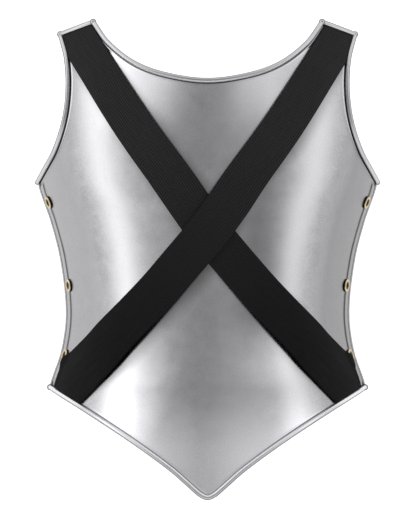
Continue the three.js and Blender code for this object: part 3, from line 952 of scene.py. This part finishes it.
def steel_material():
    """Satin steel: fine brushed grain, faint blotches and light scratches, with painted shade in its
    crevices, a painted soft shadow, painted shade on its flanks and painted highlights.
    """
    n = Nodes(bpy.data.materials.new("satin_steel"))
    where = n.objects()
    grain = n.noise(n.scaled(where, (1, 0.2, 1)), 2600, 2)
    blotch = n.noise(where, 70, 4, 0.6)
    wide = n.noise(where, 9, 2)
    scratch = n.noise(n.scaled(where, (1, 0.02, 1)), 1500, 1)
    scratch = n.fit(scratch, 0.66, 0.72, 0, 1)
    painted_dark = n.attribute("shade").outputs["Fac"]

    bright = n.mix(n.fit(blotch, 0.3, 0.7, 0, 1), (0.505, 0.501, 0.513, 1), (0.555, 0.551, 0.564, 1))
    bright = n.mix(n.fit(wide, 0.35, 0.65, 0, 0.4), bright, (0.53, 0.526, 0.53, 1))
    # Painted highlight: the sheet's colour taken towards bright steel.
    bright = n.mix(n.attribute("painted_highlight").outputs["Fac"], bright, (0.945, 0.94, 0.97, 1))
    painted_soft_shade = n.math("MULTIPLY", n.attribute("painted_soft_shade").outputs["Fac"], SOFT_SHADE_DEPTH)
    # Painted soft shade: the straps' painted shadow, the flanks' painted shade and an even painted shade on
    # the wires.
    bright = n.mix(painted_soft_shade, bright, (0.03, 0.03, 0.031, 1))
    # Painted shade: crevices, wire sides and knob sides taken towards dark.
    n.link(n.mix(painted_dark, bright, (0.02, 0.019, 0.018, 1)), "Base Color")
    n.set(Metallic=1.0)
    rough = n.fit(blotch, 0.25, 0.75, 0.24, 0.31)
    rough = n.math("ADD", rough, n.fit(grain, 0.3, 0.7, -0.03, 0.03))
    rough = n.math("ADD", rough, n.math("MULTIPLY", scratch, 0.08))
    n.link(n.math("ADD", rough, n.math("MULTIPLY", painted_dark, 0.4)), "Roughness")
    hammered = n.bump(n.noise(where, 28, 2), 0.25, 0.0006)
    n.link(n.bump(grain, 0.12, 0.00008, hammered), "Normal")
    return n.owner


def webbing_material():
    """Black woven webbing: lengthwise ribs crossed by fine weft, painted lighter towards the top of each
    strap.
    """
    n = Nodes(bpy.data.materials.new("black_webbing"))
    weave = n.attribute("weave").outputs["Vector"]
    parts = n.add("ShaderNodeSeparateXYZ", {"Vector": weave})
    across, along = parts.outputs["X"], parts.outputs["Y"]
    rib = n.math("COSINE", n.math("MULTIPLY", across, 2 * math.pi * RIBS / STRAP_WIDTH), 0)
    fuzz = n.noise(n.scaled(weave, (2.2, 1.1, 1)), 1, 3, 0.65)
    slub = n.noise(n.scaled(weave, (0.5, 0.06, 1)), 1, 2)
    weft = n.math("SINE", n.math("MULTIPLY", along, 2 * math.pi / WEFT_PITCH), 0)
    lift = n.math("ADD", n.fit(rib, -1, 1, 0, 0.5), n.fit(fuzz, 0.35, 0.65, 0, 0.6))
    dark, light = (0.0015, 0.0015, 0.0016, 1), (0.036, 0.036, 0.0367, 1)
    # Painted light: the weave's contrast, and so its lightness, rises towards the top of the straps and
    # falls towards their foot.
    lift = n.math("MULTIPLY", lift, n.fit(along, -90, 120, 0.25, 1.5))
    tone = n.mix(n.fit(lift, 0.1, 1.4, 0, 1), dark, light)
    n.link(n.mix(n.fit(slub, 0.4, 0.7, 0, 0.35), tone, (0.010, 0.010, 0.011, 1)), "Base Color")
    n.set(Roughness=0.85, Specular_IOR_Level=0.12)
    threads = n.bump(n.math("ADD", n.math("MULTIPLY", weft, 0.5), fuzz), 0.5, 0.00018)
    n.link(n.bump(rib, 0.5, 0.00015, threads), "Normal")
    return n.owner


def brass_material():
    """Dull brass, with painted shade, dark brown, where it turns in."""
    n = Nodes(bpy.data.materials.new("dull_brass"))
    where = n.objects()
    spots = n.noise(where, 900, 3, 0.6)
    tone = n.mix(n.fit(spots, 0.35, 0.7, 0, 1), (0.60, 0.51, 0.34, 1), (0.40, 0.32, 0.20, 1))
    shade = n.attribute("shade").outputs["Fac"]
    n.link(n.mix(shade, tone, (0.05, 0.03, 0.012, 1)), "Base Color")
    n.set(Metallic=1.0)
    n.link(n.math("ADD", n.fit(spots, 0.3, 0.7, 0.22, 0.38), n.math("MULTIPLY", shade, 0.3)), "Roughness")
    n.link(n.bump(spots, 0.2, 0.00005), "Normal")
    return n.owner


def floor_material():
    """Pale floor with a painted pool of light: it glows round the object, and its glow and colour fade
    softly further off.
    """
    n = Nodes(bpy.data.materials.new("pale_floor"))
    where = n.objects()
    away = n.add("ShaderNodeVectorMath", {0: n.scaled(where, (1.12, 0.9, 1))}, operation="LENGTH")
    dim = n.fit(away.outputs["Value"], 0.34, 0.95, 0, 1, interpolation_type="SMOOTHSTEP")
    tone = n.mix(n.noise(where, 30, 2), (0.86, 0.86, 0.86, 1), (0.88, 0.88, 0.88, 1))
    n.link(n.mix(dim, tone, (0.75, 0.75, 0.75, 1)), "Base Color")
    # Painted light: the floor's emission, bright round the object and dim further off.
    n.link(n.mix(dim, (0.65, 0.65, 0.65, 1), (0.1, 0.1, 0.1, 1)), "Emission Color")
    n.set(Roughness=0.7, Emission_Strength=1)
    return n.owner


# ---------------------------------------------------------------------------------------------
# Object
# ---------------------------------------------------------------------------------------------

steel, webbing, brass = steel_material(), webbing_material(), brass_material()

plate = to_object("plate", plate_part(), steel)
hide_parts("breastplate")

trees = strap_trees()
for name, strap in STRAPS.items():
    part, weave, (width, length) = strap_part(strap, trees)
    webbed = to_object(f"webbing_{name}", part, webbing, {"weave": weave})
    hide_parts(name)

for side_name, side in (("left", -1), ("right", 1)):
    for row, y in EYELET_ROWS.items():
        ring = to_object(f"brass_eyelet_{side_name}_{row}", eyelet_part(side, y), brass)
        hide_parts(f"eyelet_{side_name}_{row}")

# ---------------------------------------------------------------------------------------------
# Floor, light and camera
# ---------------------------------------------------------------------------------------------

IMAGE_WIDTH, IMAGE_HEIGHT = 416, 518
CAMERA_HEIGHT = 4.0
CAMERA_AIM = (0.0004, (0.3 + ORIGIN_Y) * MM)
VIEW_WIDTH = 0.4301  # what the picture's width takes in at the floor
SENSOR = 36.0
FLOOR_HALF, FLOOR_Z = 3.0, -0.0002
SOFTBOX_SIZE, SOFTBOX_DISTANCE = (1.4, 1.2), 2.0
END_LIGHT = (1.25, 1.25, 1.26, 1)

# Brightness of the studio by its angle from overhead, in degrees, turning about the y axis.
STUDIO = [
    (-180, 0.5),
    (-98, 0.52),
    (-90, 0.6),
    (-84, 0.85),
    (-78, 1.4),
    (-71, 2.2),
    (-65, 2.1),
    (-59, 1.35),
    (-53, 0.88),
    (-45, 0.66),
    (-34, 0.54),
    (-22, 0.46),
    (-9, 0.36),
    (0, 0.36),
    (10, 0.46),
    (22, 0.56),
    (34, 0.6),
    (48, 0.6),
    (55, 0.75),
    (61, 1.3),
    (67, 1.65),
    (73, 1.5),
    (80, 1.0),
    (87, 0.6),
    (96, 0.42),
    (180, 0.42),
]


def add_floor():
    corners = [(-1, -1), (1, -1), (1, 1), (-1, 1)]
    mesh = bpy.data.meshes.new("floor")
    points = [(x * FLOOR_HALF, y * FLOOR_HALF, FLOOR_Z) for x, y in corners]
    mesh.from_pydata(points, [], [(0, 1, 2, 3)])
    mesh.materials.append(floor_material())
    floor = bpy.data.objects.new("floor", mesh)
    bpy.context.scene.collection.objects.link(floor)


def add_softbox(name, direction, radiance):
    """A rectangular lamp that faces the object."""
    width, length = SOFTBOX_SIZE
    lamp = bpy.data.lights.new(name, "AREA")
    lamp.shape = "RECTANGLE"
    lamp.size, lamp.size_y = width, length
    lamp.energy = radiance * math.pi * width * length
    softbox = bpy.data.objects.new(name, lamp)
    softbox.location = Vector(direction).normalized() * SOFTBOX_DISTANCE
    softbox.rotation_mode = "QUATERNION"
    softbox.rotation_quaternion = softbox.location.to_track_quat("Z", "Y")
    bpy.context.scene.collection.objects.link(softbox)


def add_world():
    """A studio with long strips of light beside the object, light ends and a dimmer ceiling."""
    n = Nodes(bpy.data.worlds.new("studio"), "Background")
    where = n.add("ShaderNodeTexCoord").outputs["Generated"]
    parts = n.add("ShaderNodeSeparateXYZ", {"Vector": where}).outputs
    angle = n.math("ARCTAN2", parts["X"], parts["Z"])
    ramp = n.add("ShaderNodeValToRGB", {"Fac": n.fit(angle, -math.pi, math.pi, 0, 1)})
    while len(ramp.color_ramp.elements) < len(STUDIO):
        ramp.color_ramp.elements.new(0.5)
    for element, (degrees, tone) in zip(ramp.color_ramp.elements, STUDIO):
        element.position = degrees / 360 + 0.5
        element.color = (tone, tone, tone * 1.01, 1)
    ends = n.math("MAXIMUM", n.fit(parts["Y"], 0.62, 0.9, 0, 1), n.fit(parts["Y"], -0.4, -0.6, 0, 1))
    n.link(n.mix(ends, ramp.outputs["Color"], END_LIGHT), "Color")
    bpy.context.scene.world = n.owner


def add_camera():
    camera = bpy.data.cameras.new("camera")
    camera.sensor_width = SENSOR
    view_height = VIEW_WIDTH * IMAGE_HEIGHT / IMAGE_WIDTH
    camera.lens = SENSOR * CAMERA_HEIGHT / view_height
    camera.clip_end = 20
    holder = bpy.data.objects.new("camera", camera)
    holder.location = (*CAMERA_AIM, CAMERA_HEIGHT)
    bpy.context.scene.collection.objects.link(holder)
    bpy.context.scene.camera = holder


add_floor()
add_world()
add_softbox("left_softbox", (-0.64, 0.52, 0.58), 0.35)
add_softbox("right_softbox", (0.64, 0.52, 0.58), 0.2)
add_camera()
bpy.context.scene.view_settings.view_transform = "Standard"
